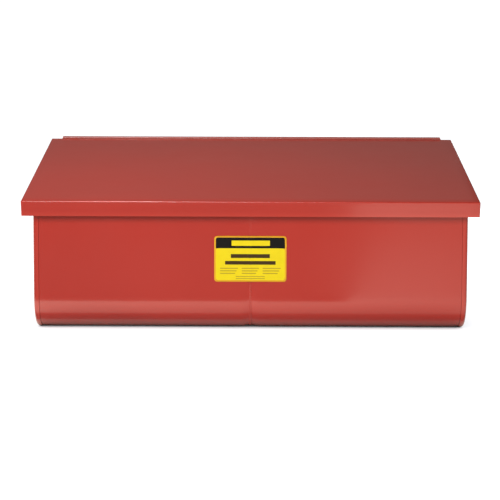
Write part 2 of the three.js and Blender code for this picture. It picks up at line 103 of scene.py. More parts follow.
def level_at(y, up):
    """The height at which the level `up` of the lid's plane crosses the upright plane at y."""
    forward = (PIN.y - up * math.sin(SLOPE) - y) / math.cos(SLOPE)
    return lid_point(0, forward, up).z


def add_object(name, data):
    obj = bpy.data.objects.new(name, data)
    bpy.context.scene.collection.objects.link(obj)
    return obj


# ---- camera, floor and light ----

EYE = (0.0104, -3.4960, 0.4683)
LENS = 116.3
LOOK_DOWN, TURN, ROLL = (math.radians(angle) for angle in (5.35, 0.197, 0.18))

WARM_WHITE = (1.0, 0.95, 0.80)
FLOOR_WHITE = (0.93, 0.97, 1.0)
FLOOR_REACH = 40.0
SHADOW_REACH = 0.12
BRIGHT_STRIP = 0.12  # how far the floor's bright part reaches in front of the tank
# Kind of ray, strength of the glow, how quickly it fades where the floor is covered (a painted
# contact shadow), and how much it changes for each metre to the right (for gloss, a painted
# reflection that is brighter on the left), within the least and the most that it may be.
FLOOR_GLOW = (
    ("Is Camera Ray", 1.15, 0.45, 0.0),
    ("Is Glossy Ray", 1.45, 1.1, -1.0),
    ("Is Diffuse Ray", 0.72, 1.3, 0.0),
)
LEAST_GLOW, MOST_GLOW = 0.5, 1.95
SKY = 0.125
BACKDROP = 1.1
# Name, place, what it faces, size and power in watts.
LIGHTS = (
    ("key", (-0.5, -2.1, 1.4), (0, -0.2, 0.2), (1.2, 1.2), 39),
    ("top", (-0.32, -0.33, 1.25), (-0.32, -0.33, 0), (0.2, 0.2), 4.3),
    ("back", (-0.3, 3.6, 2.4), (0, 0, 0.3), (3.0, 2.0), 1.6),
    ("rear", (0.3, 3.5, 0.7), (0, 0, 0.3), (2.0, 0.8), 22),
)


def camera():
    data = bpy.data.cameras.new("camera")
    data.lens = LENS
    data.clip_end = 50
    cam = add_object("camera", data)
    turn = Matrix.Rotation(TURN, 4, "Z")
    tilt = Matrix.Rotation(math.pi / 2 - LOOK_DOWN, 4, "X")
    roll = Matrix.Rotation(ROLL, 4, "Z")
    cam.matrix_world = Matrix.Translation(EYE) @ turn @ tilt @ roll
    bpy.context.scene.camera = cam


def area_light(name, location, target, size, power):
    data = bpy.data.lights.new(name, "AREA")
    data.shape = "RECTANGLE"
    data.size, data.size_y = size
    data.energy = power
    light = add_object(name, data)
    light.location = location
    light.rotation_euler = (Vector(target) - Vector(location)).to_track_quat("-Z", "Y").to_euler()


def sheet_on_floor(name, corners, z, material):
    mesh = bpy.data.meshes.new(name)
    mesh.from_pydata([(x, y, z) for x, y in corners], [], [range(len(corners))])
    mesh.materials.append(material)
    obj = add_object(name, mesh)
    return obj


def floor_material():
    """A white floor that glows, so that it stays white but for a painted soft shadow, from ambient
    occlusion, where the object stands. Its glow differs for what the camera sees, for gloss and for
    the light that it throws back."""
    look = Look("floor_white", grey(0.5), 0.8)
    shade = look.nodes.new("ShaderNodeAmbientOcclusion")
    shade.inputs["Distance"].default_value = SHADOW_REACH
    shade.samples = 8
    path = look.nodes.new("ShaderNodeLightPath")
    position = look.nodes.new("ShaderNodeNewGeometry")
    across = look.nodes.new("ShaderNodeSeparateXYZ")
    look.link(position.outputs["Position"], across.inputs[0])
    total = 0.0
    for ray, strength, power, slant in FLOOR_GLOW:
        depth = look.math("POWER", shade.outputs["AO"], power)
        side = look.math("MULTIPLY_ADD", across.outputs["X"], slant, strength)
        side = look.math("MINIMUM", look.math("MAXIMUM", side, LEAST_GLOW), MOST_GLOW)
        glow = look.math("MULTIPLY", depth, side)
        total = look.math("MULTIPLY_ADD", path.outputs[ray], glow, total)
    colour = look.mix(path.outputs["Is Camera Ray"], WARM_WHITE, FLOOR_WHITE)
    look.set({"Specular IOR Level": 0.1, "Emission Color": colour, "Emission Strength": total})
    return look.material


def floor():
    """The floor, and two sheets on it that only its mirror image in the tank shows, as painted
    reflection: a darker area beyond the bright strip in front of the tank, and a dark line of
    painted shade under its front edge."""
    ends = FLOOR_REACH
    sheet_on_floor("floor", [(-ends, -ends), (ends, -ends), (ends, ends), (-ends, ends)], 0,
                   floor_material())
    near = TANK_FRONT - BRIGHT_STRIP
    left, right_far, right_near = -6, 4.3, 0.20
    dark_reflection_corners = [(left, -ends), (right_far, -ends), (right_near, near), (left, near)]
    reach, under = HALF_TANK + 50 * MM, TANK_FRONT + 28 * MM
    strip_corners = [(-reach, TANK_FRONT), (reach, TANK_FRONT), (reach, under), (-reach, under)]
    # Sheets seen only in the tank's gloss: a painted dark reflection, and painted shade under the
    # front edge.
    for name, corners, z, colour_name, level in (
        ("dark_reflection_sheet", dark_reflection_corners, 2 * MM, "painted_dark_reflection", 0.25),
        ("strip", strip_corners, 0.5 * MM, "painted_shade_reflection", 0.6),
    ):
        sheet = sheet_on_floor(name, corners, z, Look(colour_name, grey(level), 0.9).material)
        sheet.visible_camera = False
        sheet.visible_diffuse = False
        sheet.visible_shadow = False


def sky():
    """A dim warm sky for every ray but the camera's, which sees a white backdrop."""
    world = bpy.data.worlds.new("studio")
    world.use_nodes = True
    nodes, links = world.node_tree.nodes, world.node_tree.links
    dim = nodes["Background"]
    dim.inputs["Color"].default_value = (*WARM_WHITE, 1)
    dim.inputs["Strength"].default_value = SKY
    backdrop = nodes.new("ShaderNodeBackground")
    backdrop.inputs["Color"].default_value = (1, 1, 1, 1)
    backdrop.inputs["Strength"].default_value = BACKDROP
    path = nodes.new("ShaderNodeLightPath")
    mix = nodes.new("ShaderNodeMixShader")
    links.new(path.outputs["Is Camera Ray"], mix.inputs["Fac"])
    links.new(dim.outputs[0], mix.inputs[1])
    links.new(backdrop.outputs[0], mix.inputs[2])
    links.new(mix.outputs[0], nodes["World Output"].inputs[0])
    bpy.context.scene.world = world


def studio():
    floor()
    sky()
    for light in LIGHTS:
        area_light(*light)
    bpy.context.scene.view_settings.view_transform = "Standard"


# ---- materials ----

def grey(value):
    return (value, value, value)


def scaled(colour, factor):
    return tuple(channel * factor for channel in colour)


class Look:
    """A material, and the nodes that vary it over the surface."""

    def __init__(self, name, colour, roughness, metallic=0.0):
        self.material = bpy.data.materials.new(name)
        self.material.use_nodes = True
        self.nodes = self.material.node_tree.nodes
        self.link = self.material.node_tree.links.new
        self.inputs = self.nodes["Principled BSDF"].inputs
        self.set({"Base Color": colour, "Roughness": roughness, "Metallic": metallic})

    def set(self, values):
        for name, value in values.items():
            self.give(self.inputs[name], value)

    def give(self, socket, value):
        """Sets a socket to a number or a colour, or links it to the socket that gives it."""
        if isinstance(value, bpy.types.NodeSocket):
            self.link(value, socket)
        elif isinstance(value, tuple):
            socket.default_value = (*value, 1)
        else:
            socket.default_value = value

    def math(self, operation, *values):
        node = self.nodes.new("ShaderNodeMath")
        node.operation = operation
        for socket, value in zip(node.inputs, values):
            self.give(socket, value)
        return node.outputs[0]

    def mix(self, factor, first, second):
        """A mix of two colours."""
        node = self.nodes.new("ShaderNodeMix")
        node.data_type = "RGBA"
        # Of this node's sockets, inputs 6 and 7 and output 2 are those for colours.
        for number, value in ((0, factor), (6, first), (7, second)):
            self.give(node.inputs[number], value)
        return node.outputs[2]

    def noise(self, scale, detail):
        """3-D noise over the object's own coordinates, in clouds about 1/scale metres wide."""
        coordinates = self.nodes.new("ShaderNodeTexCoord")
        node = self.nodes.new("ShaderNodeTexNoise")
        node.inputs["Scale"].default_value = scale
        node.inputs["Detail"].default_value = detail
        self.link(coordinates.outputs["Object"], node.inputs["Vector"])
        return node.outputs["Fac"]

    def ramp(self, source, *stops):
        """The colour that two stops, each a value and a colour, give for the source's value."""
        node = self.nodes.new("ShaderNodeValToRGB")
        for element, (value, colour) in zip(node.color_ramp.elements, stops):
            element.position = value
            element.color = (*colour, 1)
        self.link(source, node.inputs["Fac"])
        return node.outputs["Color"]

    def vary_roughness(self, cloud, low, high):
        node = self.nodes.new("ShaderNodeMapRange")
        for name, value in (("Value", cloud), ("From Min", 0.25), ("From Max", 0.75),
                            ("To Min", low), ("To Max", high)):
            self.give(node.inputs[name], value)
        self.set({"Roughness": node.outputs["Result"]})

    def add_bump(self, height, strength, distance):
        """Adds a bump over whatever bump there already is."""
        node = self.nodes.new("ShaderNodeBump")
        for name, value in (("Strength", strength), ("Distance", distance), ("Height", height)):
            self.give(node.inputs[name], value)
        for previous in self.inputs["Normal"].links:
            self.link(previous.from_socket, node.inputs["Normal"])
        self.set({"Normal": node.outputs["Normal"]})

    def wear_and_highlight_edges(self, tone, edge_wear_and_highlight, full, most):
        """Mixes a lighter edge colour in where the surface turns sharply outwards, at most by
        `most`, which it reaches at the pointiness `full`. On the zinc and the brass it is wear; on
        the red paint it is a painted highlight."""
        geometry = self.nodes.new("ShaderNodeNewGeometry")
        mask = self.ramp(geometry.outputs["Pointiness"], (WEAR_AND_HIGHLIGHT_START, grey(0)), (full, grey(most)))
        self.set({"Base Color": self.mix(mask, tone, edge_wear_and_highlight)})


WEAR_AND_HIGHLIGHT_START = 0.53  # a nearly flat surface has a pointiness of 0.5
PAINT = (0.485, 0.022, 0.010)


def paint_material(name, colour=PAINT, roughness=(0.28, 0.31)):
    """Red powder coat: fine orange peel and cloudy gloss, with a paler colour on sharp edges as a
    painted highlight.
    """
    look = Look(name, colour, roughness[0])
    look.set({"IOR": 1.62, "Coat Weight": 0.35, "Coat Roughness": 0.12})
    tone = look.ramp(look.noise(3.2, 4), (0.05, scaled(colour, 0.93)), (0.95, scaled(colour, 1.07)))
    # Paler colour on sharp edges: a painted highlight.
    edge_wear_and_highlight = (min(colour[0] * 1.25, 1), colour[1] * 2.0, colour[2] * 2.2)
    look.wear_and_highlight_edges(tone, edge_wear_and_highlight, 0.60, 0.55)
    look.vary_roughness(look.noise(14, 5), *roughness)
    look.add_bump(look.noise(420, 2), 0.05, 0.6 * MM)
    look.add_bump(look.noise(60, 2), 0.03, 1.0 * MM)
    return look.material


def zinc_material(name):
    """Zinc-plated steel with a faint spangle."""
    look = Look(name, (0.55, 0.57, 0.58), 0.35, 1.0)
    tone = look.ramp(look.noise(90, 6), (0.30, (0.46, 0.48, 0.50)), (0.70, (0.66, 0.67, 0.66)))
    look.wear_and_highlight_edges(tone, (0.80, 0.80, 0.78), 0.60, 0.6)
    look.vary_roughness(look.noise(25, 5), 0.29, 0.45)
    look.add_bump(look.noise(500, 3), 0.10, 0.3 * MM)
    return look.material


def brass_material(name):
    """Cast brass, dulled by handling."""
    look = Look(name, (0.62, 0.42, 0.16), 0.34, 1.0)
    tone = look.ramp(look.noise(70, 6), (0.30, (0.40, 0.25, 0.09)), (0.70, (0.68, 0.48, 0.20)))
    look.wear_and_highlight_edges(tone, (0.86, 0.68, 0.36), 0.61, 0.7)
    look.vary_roughness(look.noise(60, 5), 0.30, 0.46)
    look.add_bump(look.noise(650, 4), 0.18, 0.4 * MM)
    return look.material


def film_material(name, colour):
    """Printed vinyl film: even ink with a faint mottle under a clear coat."""
    look = Look(name, colour, 0.35)
    look.set({"Specular IOR Level": 0.2, "Coat Weight": 0.1, "Coat Roughness": 0.2})
    tone = look.ramp(look.noise(45, 4), (0.05, scaled(colour, 0.93)), (0.95, scaled(colour, 1.05)))
    look.set({"Base Color": tone})
    look.vary_roughness(look.noise(30, 4), 0.30, 0.43)
    look.add_bump(look.noise(300, 2), 0.04, 0.3 * MM)
    return look.material


# ---- mesh helpers ----

def smooth(mesh, angle):
    """Smooth shading, but for edges that turn by more than the angle in degrees."""
    mesh.shade_smooth()
    mesh.set_sharp_from_angle(angle=math.radians(angle))


def new_object(name, bm, material, smooth_angle=40):
    bmesh.ops.recalc_face_normals(bm, faces=bm.faces)
    mesh = bpy.data.meshes.new(name)
    bm.to_mesh(mesh)
    bm.free()
    mesh.materials.append(material)
    obj = add_object(name, mesh)
    smooth(mesh, smooth_angle)
    return obj


def thicken(obj, thickness, offset):
    """Gives a sheet its thickness: offset 1 outwards, -1 inwards, 0 both ways."""
    solid = obj.modifiers.new("thickness", "SOLIDIFY")
    solid.thickness = thickness
    solid.offset = offset
    solid.use_even_offset = True


def thicken_inwards(obj):
    """Gives a wall of the tank its thickness on the inner side."""
    face = max(obj.data.polygons, key=lambda polygon: polygon.area)
    faces_out = (face.center - INSIDE).dot(face.normal) > 0
    thicken(obj, SHEET, -1 if faces_out else 1)


def round_folds(obj, radius, segments, angle):
    bevel = obj.modifiers.new("folds", "BEVEL")
    bevel.width = radius
    bevel.segments = segments
    bevel.limit_method = "ANGLE"
    bevel.angle_limit = math.radians(angle)


def final_mesh(obj):
    bpy.context.view_layer.update()
    evaluated = obj.evaluated_get(bpy.context.evaluated_depsgraph_get())
    return bpy.data.meshes.new_from_object(evaluated)


def bake(obj, smooth_angle=40):
    """Applies the object's modifiers, so that later steps see the final surface."""
    mesh = final_mesh(obj)
    obj.modifiers.clear()
    obj.data = mesh
    smooth(mesh, smooth_angle)
    return obj


def place(obj, body, slot, *nodes):
    """Gives a piece its body, and hides the CAD nodes that it stands for. The slot is not used."""
    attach(obj, body)
    if nodes:
        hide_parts(*nodes)
    return obj


def rounded_path(corners, radii, steps=6):
    """A polyline through the corners with a round bend of the given radius at each inner one."""
    points = [Vector(corners[0])]
    for before, corner, after, radius in zip(corners, corners[1:], corners[2:], radii):
        corner = Vector(corner)
        inward = (Vector(before) - corner).normalized()
        outward = (Vector(after) - corner).normalized()
        half = inward.angle(outward) / 2
        centre = corner + (inward + outward).normalized() * (radius / math.sin(half))
        middle = (corner - centre).normalized()
        side = (outward - inward).normalized()
        for step in range(steps + 1):
            swing = (math.pi - 2 * half) * (step / steps - 0.5)
            points.append(centre + radius * (middle * math.cos(swing) + side * math.sin(swing)))
    points.append(Vector(corners[-1]))
    return points


def resampled(points, longest):
    """The polyline with its long stretches divided, so that none is longer than `longest`."""
    result = [points[0]]
    for start, end in zip(points, points[1:]):
        pieces = max(1, math.ceil((end - start).length / longest))
        result += [start.lerp(end, step / pieces) for step in range(1, pieces + 1)]
    return result


def columns(low, high, spacing, fine_at=(), fine_reach=0.0, fine_spacing=3 * MM):
    """Places from low to high, close together near each place in `fine_at`."""
    count = max(1, round((high - low) / spacing))
    places = {low, high} | {low + (high - low) * i / count for i in range(count + 1)}
    steps = int(fine_reach / fine_spacing)
    for centre in fine_at:
        near = {centre + i * fine_spacing for i in range(-steps, steps + 1)}
        places |= {x for x in near if low < x < high}
    kept = []
    for x in sorted(places):
        if not kept or x - kept[-1] > 0.4 * fine_spacing:
            kept.append(x)
    kept[-1] = high
    return kept


def grid_surface(rows, cols, point, skip=lambda i, j: False):
    """A bmesh of quads: point(i, j) is the place of row i, column j."""
    bm = bmesh.new()
    verts = {(i, j): bm.verts.new(point(i, j)) for i in range(rows) for j in range(cols)}
    for i in range(rows - 1):
        for j in range(cols - 1):
            if not skip(i, j):
                bm.faces.new((verts[i, j], verts[i, j + 1], verts[i + 1, j + 1], verts[i + 1, j]))
    loose = [v for v in bm.verts if not v.link_faces]
    bmesh.ops.delete(bm, geom=loose, context="VERTS")
    return bm


def bridge(bm, first, second):
    """Quads between two rows of vertices."""
    for a, b, c, d in zip(first, first[1:], second[1:], second):
        bm.faces.new((a, b, c, d))


def clamped(share):
    return max(0.0, min(1.0, share))


def waviness(x, y, z, amount, scale):
    return amount * noise.noise(Vector((x * scale, y * scale, z * scale)))


def lathe(name, profile, centre, material, segments=48):
    """A piece turned about the X axis; the profile is a list of (x, radius)."""
    bm = bmesh.new()
    rings = []
    for along, radius in profile:
        if radius == 0:
            rings.append([bm.verts.new((along, 0, 0))])
            continue
        ring = []
        for k in range(segments):
            angle = 2 * math.pi * k / segments
            ring.append(bm.verts.new((along, radius * math.cos(angle), radius * math.sin(angle))))
        rings.append(ring)
    for first, second in zip(rings, rings[1:]):
        for k in range(segments):
            a, b = first[k % len(first)], first[(k + 1) % len(first)]
            c, d = second[(k + 1) % len(second)], second[k % len(second)]
            corners = list(dict.fromkeys((a, b, c, d)))
            if len(corners) > 2:
                bm.faces.new(corners)
    bmesh.ops.remove_doubles(bm, verts=bm.verts, dist=1e-7)
    bmesh.ops.translate(bm, verts=bm.verts, vec=centre)
    return new_object(name, bm, material, 35)


def flat_plate(name, outline, holes, thickness, matrix, material, edge=0.3 * MM):
    """A plate cut to a closed outline with holes, with broken edges. Outline and holes lie in
    the local X-Y plane, and the plate is centred on it."""
    curve = bpy.data.curves.new(name, "CURVE")
    curve.dimensions = "2D"
    curve.fill_mode = "BOTH"
    curve.extrude = thickness / 2 - edge
    curve.bevel_depth = edge
    curve.bevel_resolution = 1
    curve.offset = -edge
    for loop in [outline, *holes]:
        spline = curve.splines.new("POLY")
        spline.points.add(len(loop) - 1)
        for point, (x, y) in zip(spline.points, loop):
            point.co = (x, y, 0, 1)
        spline.use_cyclic_u = True
    holder = add_object(name, curve)
    mesh = final_mesh(holder)
    bpy.data.objects.remove(holder)
    bm = bmesh.new()
    bm.from_mesh(mesh)
    bmesh.ops.remove_doubles(bm, verts=bm.verts, dist=1e-6)
    bmesh.ops.transform(bm, verts=bm.verts, matrix=matrix)
    return new_object(name, bm, material, 30)


def block(name, size, edge, segments, matrix, material, taper=1.0):
    """A box with rounded edges; its +X end is drawn in to the share `taper`."""
    bm = bmesh.new()
    bmesh.ops.create_cube(bm, size=1.0)
    for vert in bm.verts:
        share = taper if vert.co.x > 0 else 1.0
        vert.co *= Vector((size[0], size[1] * share, size[2] * share))
    bmesh.ops.bevel(bm, geom=bm.edges[:], offset=edge, segments=segments, affect="EDGES")
    bmesh.ops.transform(bm, verts=bm.verts, matrix=matrix)
    return new_object(name, bm, material)


def arc(x, y, radius, start, turn, count):
    """Points round a centre, from the angle `start` on through the angle `turn`."""
    angles = [start + turn * i / count for i in range(count + 1)]
    return [(x + radius * math.cos(angle), y + radius * math.sin(angle)) for angle in angles]


def circle(x, y, radius, count=32):
    return arc(x, y, radius, 0, 2 * math.pi, count)[:-1]


def stadium(start, end, radius, count):
    """A slot's outline round the stretch from start to end."""
    heading = math.atan2(end[1] - start[1], end[0] - start[0])
    return (arc(*end, radius, heading - math.pi / 2, math.pi, count)
            + arc(*start, radius, heading + math.pi / 2, math.pi, count))


def rounded_rectangle(low, high, radius, count=8):
    right, left = high[0] - radius, low[0] + radius
    top, bottom = high[1] - radius, low[1] + radius
    loop = []
    for turn, (x, y) in enumerate([(right, top), (left, top), (left, bottom), (right, bottom)]):
        loop += arc(x, y, radius, math.pi / 2 * turn, math.pi / 2, count)
    return loop


# ---- shell ----

PULL_DEPTH = 2.3 * MM  # how far the weld draws the sheet in
PULL_REACH = 10 * MM
FACE_HOLLOW = 0.35 * MM  # of the whole face, before its waves
DIP = 0.5 * MM  # the width of the dip under an end flange


def shell_path():
    """The shell's outer face in side view, from the front rim to the hinge flange."""
    back = TANK_BACK - FACE_INSET
    rim_forward = (PIN.y - RIM_TOP * math.sin(SLOPE) - FACE) / math.cos(SLOPE)
    under_rim = RIM_TOP - SHEET
    under_hinge = HINGE_FLANGE_TOP - SHEET
    corners = [
        lid_point(0, rim_forward + RIM_FLANGE, under_rim),
        Vector((0, FACE, level_at(FACE, under_rim))),
        Vector((0, FACE, FACE_INSET)),
        Vector((0, back, FACE_INSET)),
        Vector((0, back, level_at(back, under_hinge))),
        lid_point(0, -HINGE_FLANGE, under_hinge),
    ]
    bend = BOTTOM_RADIUS - FACE_INSET
    path = rounded_path(corners, [2 * MM, bend, bend, 2 * MM], 14)
    return resampled(path, 14 * MM)


def inward_normals(path):
    normals = []
    for i in range(len(path)):
        along = path[min(i + 1, len(path) - 1)] - path[max(i - 1, 0)]
        normals.append(Vector((0, -along.z, along.y)).normalized())
    return normals


def seam_pull(x, z):
    """How far the face lies inwards near the middle weld, and, less, near the end flanges.
    The pull is strongest low down, from 130 mm up to 50 mm."""
    low = clamped((130 * MM - z) / (80 * MM))
    weld = (0.35 + 0.65 * low) * math.exp(-((x / PULL_REACH) ** 2))
    edge = (LAP_EDGE - abs(x)) / (PULL_REACH * 0.8)
    flange = (0.03 + 0.14 * low) * math.exp(-max(edge, 0) ** 2)
    return PULL_DEPTH * (weld + flange)


def joggle(x):
    """How far the shell steps inwards, to pass under the flange of the end panel."""
    share = clamped((abs(x) - (LAP_EDGE - DIP - 0.1 * MM)) / DIP)
    return (SHELL_INSET - FACE_INSET) * share * share * (3 - 2 * share)


def shell_half(name, side, material):
    path = shell_path()
    normals = inward_normals(path)
    inner, outer = 0.2 * MM, PANEL_INSIDE - GAP
    xs = columns(inner, outer, 24 * MM, (inner, LAP_EDGE), 45 * MM, 3 * MM)
    # The dip has columns of its own.
    xs = [x for x in xs if abs(x - LAP_EDGE) > 4 * MM]
    xs = sorted(xs + [LAP_EDGE + step * MM for step in (-2.0, -1.0, -0.6, -0.45, -0.3, -0.1, 2.0)])

    def point(i, j):
        x = side * xs[j]
        spot = path[i]
        # The sheet is true along the rim's fold, and hollow and wavy below it.
        calm = clamped((level_at(spot.y, RIM_TOP) - spot.z) / (40 * MM))
        hollow = FACE_HOLLOW + waviness(x, spot.y, spot.z, 0.5 * MM, 4.0)
        depth = (seam_pull(x, spot.z) + hollow) * calm + joggle(x)
        return Vector((x, spot.y, spot.z)) + normals[i] * depth

    obj = new_object(name, grid_surface(len(path), len(xs), point), material, 60)
    thicken_inwards(obj)
    return bake(obj, 50)


def weld_bead(material):
    """The painted bead over the butt, rippled along its length and thicker low down."""
    def below_rim(spot):
        if spot.y < 0:
            return spot.z < level_at(FACE, RIM_TOP) - 8 * MM
        return spot.z < level_at(spot.y, RIM_TOP) - 12 * MM

    path = resampled([spot for spot in shell_path() if below_rim(spot)], 1.2 * MM)
    normals = inward_normals(path)
    half_width = 2.8 * MM
    # Places across the bead and their heights, as shares of its half width and its height.
    flank = [(0.35, 0.85), (0.72, 0.35), (1, -0.25)]
    section = [(-across, height) for across, height in reversed(flank)] + [(0, 1.0)] + flank

    def point(i, j):
        across, height = section[j]
        spot = path[i]
        ripple = 1 + 0.22 * math.sin(i * 1.3) + 0.25 * noise.noise(Vector((i * 0.11, 3.0, 0)))
        wander = 0.35 * MM * noise.noise(Vector((i * 0.02, 9.0, 0)))
        low = clamped((110 * MM - spot.z) / (20 * MM))
        proud = (0.40 + 1.20 * low) * MM * height * ripple
        sideways = across * half_width * (1 + 0.1 * math.sin(i * 1.3 + 0.8)) + wander
        depth = seam_pull(0, spot.z) + FACE_HOLLOW - proud
        return Vector((sideways, spot.y, spot.z)) + normals[i] * depth

    return new_object("weld_bead", grid_surface(len(path), len(section), point), material, 60)


# ---- end panels ----

def quarter_bend(radius, steps=5):
    """Along the start of a bend and square to it, for each step of a quarter turn."""
    turns = [math.pi / 2 * step / steps for step in range(1, steps + 1)]
    return [(radius * math.sin(turn), radius * (1 - math.cos(turn))) for turn in turns]


def end_panel(name, side, material):
    """A flat panel with a round-cornered flange lapped over the shell and a rim flange."""
    bend = 5.0 * MM
    top_front = level_at(TANK_FRONT, RIM_TOP - SHEET) - 0.6 * MM
    top_back = level_at(TANK_BACK, HINGE_FLANGE_TOP - SHEET) - 0.9 * MM
    corners = [
        Vector((0, TANK_FRONT, top_front)),
        Vector((0, TANK_FRONT, 0)),
        Vector((0, TANK_BACK, 0)),
        Vector((0, TANK_BACK, top_back)),
    ]
    wrap = resampled(rounded_path(corners, [BOTTOM_RADIUS, BOTTOM_RADIUS], 20), 20 * MM)
    inwards = inward_normals(wrap)
    # Each row runs along the wrap, at a place across the panel and a distance inside the wrap.
    rows = [(LAP_EDGE, 0.0), (HALF_TANK - bend, 0.0)]
    rows += [(HALF_TANK - bend + along, square) for along, square in quarter_bend(bend)]
    bm = bmesh.new()
    loops = []
    for x, inset in rows:
        loops.append([bm.verts.new(Vector((side * x, spot.y, spot.z)) + inward * inset)
                      for spot, inward in zip(wrap, inwards)])
    for first, second in zip(loops, loops[1:]):
        bridge(bm, first, second)
    # The rim: up past the flange, then out over a small bend.
    front, back = loops[-1][0].co, loops[-1][-1].co
    under = RIM_TOP - SHEET
    rim_rows = [(HALF_TANK, under - bend)]
    rim_rows += [(HALF_TANK + square, under - bend + along) for along, square in quarter_bend(bend)]
    rim_rows.append((HALF_TANK + RIM_FLANGE, under))
    rim = [[bm.verts.new((side * x, y, level_at(y, up))) for y in (front.y, back.y)]
           for x, up in rim_rows]
    for first, second in zip(rim, rim[1:]):
        bridge(bm, first, second)
    bm.faces.new([*loops[-1], rim[0][1], rim[0][0]])
    obj = new_object(name, bm, material)
    thicken_inwards(obj)
    return bake(obj)


def drill(obj, radius, centre, material):
    """Cuts a round hole along the X axis."""
    reach = 20 * MM
    cutter = lathe("cutter", [(-reach, 0), (-reach, radius), (reach, radius), (reach, 0)],
                   centre, material)
    cut = obj.modifiers.new("hole", "BOOLEAN")
    cut.object = cutter
    cut.solver = "EXACT"
    bake(obj)
    bpy.data.objects.remove(cutter)
    return obj


# ---- lid ----

def lid_surface(x, forward):
    """A place on the lid's skin, a little hollow and wavy as thin pressed sheet is."""
    edge_x = clamped((HALF_LID - abs(x)) / (90 * MM))
    edge_y = clamped(forward / (160 * MM)) ** 2 * clamped((LID_REACH - forward) / (90 * MM))
    sag = (0.5 * MM + waviness(x, forward, 0.3, 0.6 * MM, 3.0)) * edge_x * edge_y
    return lid_point(x, forward, LID_TOP - sag)


def lid_skin(material):
    xs = columns(-HALF_LID, HALF_LID, 26 * MM)
    forwards = columns(LID_BACK, LID_REACH, 26 * MM)
    bm = bmesh.new()
    top = [[bm.verts.new(lid_surface(x, f)) for x in xs] for f in forwards]
    for first, second in zip(top, top[1:]):
        bridge(bm, first, second)
    # The lip goes down from the border, along the left side, the front and the right side.
    upper = [row[0] for row in top] + top[-1][1:] + [row[-1] for row in reversed(top[:-1])]
    border = ([(xs[0], f) for f in forwards] + [(x, LID_REACH) for x in xs[1:]]
              + [(xs[-1], f) for f in reversed(forwards[:-1])])
    for depth in (10 * MM, 20 * MM, LID_LIP):
        lower = [bm.verts.new(lid_point(x, f, LID_TOP - depth)) for x, f in border]
        bridge(bm, upper, lower)
        upper = lower
    obj = new_object("lid_skin", bm, material)
    round_folds(obj, 2.0 * MM, 4, 60)
    thicken_inwards(obj)
    return bake(obj)


# ---- hinge ----

def hinge_leaf(name, direction, first, material):
    """A leaf whose knuckles are rolled round the pin. `direction` is 1 in front of the pin
    and -1 behind it, and every second knuckle is its own, from the one numbered `first`."""
    middle_radius = KNUCKLE_RADIUS - SHEET / 2
    roll, roll_steps = math.radians(318), 16
    flat = [LEAF_WIDTH, LEAF_WIDTH * 0.6, LEAF_WIDTH * 0.3, LID_BACK]
    profile = [(forward, -middle_radius) for forward in (*flat, 0.0)]
    for step in range(1, roll_steps + 1):
        turn = roll * step / roll_steps
        profile.append((-middle_radius * math.sin(turn), -middle_radius * math.cos(turn)))
    pitch = HINGE_LENGTH / KNUCKLES
    half = HINGE_LENGTH / 2
    xs, owned = [], []
    for k in range(KNUCKLES):
        start = k * pitch - half
        xs += [start + GAP / 2, start + pitch - GAP / 2]
        owned += [k % 2 == first, False]
    xs[0], xs[-1] = -half, half

    def point(i, j):
        forward, up = profile[i]
        return lid_point(xs[j], direction * forward, up)

    def skip(i, j):
        return i >= len(flat) - 1 and not owned[j]

    bm = grid_surface(len(profile), len(xs), point, skip)
    obj = new_object(name, bm, material, 60)
    thicken(obj, SHEET - 0.1 * MM, 0)
    return bake(obj, 50)


def hinge_pin(material):
    reach, tip = HINGE_LENGTH / 2, HINGE_LENGTH / 2 + 0.4 * MM
    radius = 1.6 * MM
    profile = [(-tip, 0), (-tip, radius * 0.7), (-reach, radius),
               (reach, radius), (tip, radius * 0.7), (tip, 0)]
    return lathe("hinge_rod", profile, lid_point(0, 0, 0), material, 24)


# ---- label ----

FILM = 0.25 * MM
FILM_LEVELS = 12


def film(name, shape, lift, material):
    """A film on the front sheet that rises over the weld. shape(x) gives its lower and upper
    edge there, and lift is how far it lies in front of the one that it is stuck to."""
    low, high, edges = shape
    xs = columns(low, high, 4 * MM, (0.0, low, high), 8 * MM, 0.5 * MM)

    def point(i, j):
        x = xs[j]
        bottom, top = edges(x)
        ridge = 0.85 * MM * math.exp(-((x / (3.4 * MM)) ** 2))
        y = FACE - 0.15 * MM - lift - ridge
        return Vector((x, y, bottom + (top - bottom) * i / FILM_LEVELS))

    return new_object(name, grid_surface(FILM_LEVELS + 1, len(xs), point), material, 60)


def rounded_block(x0, x1, z0, z1, radius, round_bottom=True):
    """The shape of a block with round corners, as its edges over x."""
    def edges(x):
        near = min(x - x0, x1 - x)
        cut = 0.0
        if near < radius:
            cut = radius - math.sqrt(max(radius ** 2 - (radius - near) ** 2, 0))
        cut = min(cut, (z1 - z0) / 2 - 1e-6)
        return z0 + (cut if round_bottom else 0), z1 - cut
    return x0, x1, edges


